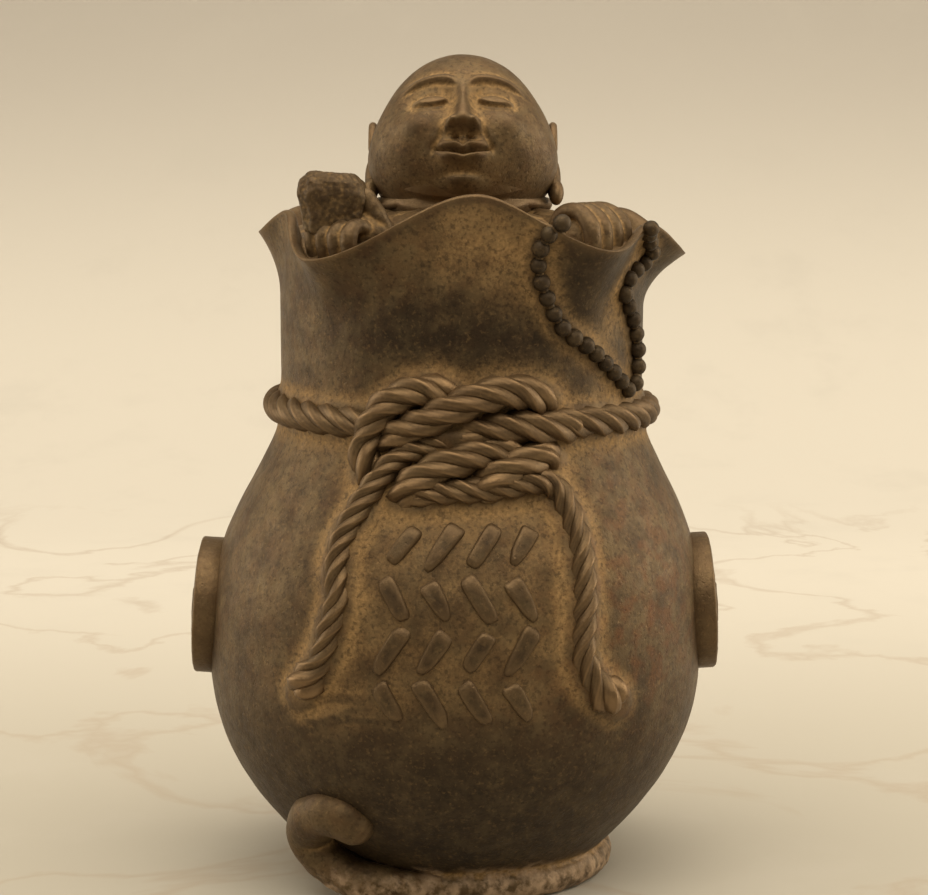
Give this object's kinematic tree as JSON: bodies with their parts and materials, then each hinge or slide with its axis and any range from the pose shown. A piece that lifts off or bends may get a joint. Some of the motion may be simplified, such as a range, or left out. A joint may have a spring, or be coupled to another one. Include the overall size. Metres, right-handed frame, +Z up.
{
  "type": "laughing buddha statue",
  "caption": "Bronze figure of a calm monk who looks up out of a big sack tied with a knotted rope, with coins on its sides and a string of beads.",
  "frame": {"origin": "on the underside, below the axis of the belly", "axes": "+Z up, -Y to the front, where the knot and the face are, +X to the side of the beads"},
  "size_m": [0.1168, 0.1094, 0.18],
  "materials": {
    "old_bronze": "old brown patina with ochre dust in the hollows"
  },
  "bodies": {
    "root": {"laughing_buddha_statue": "old_bronze"}
  },
  "joints": []
}
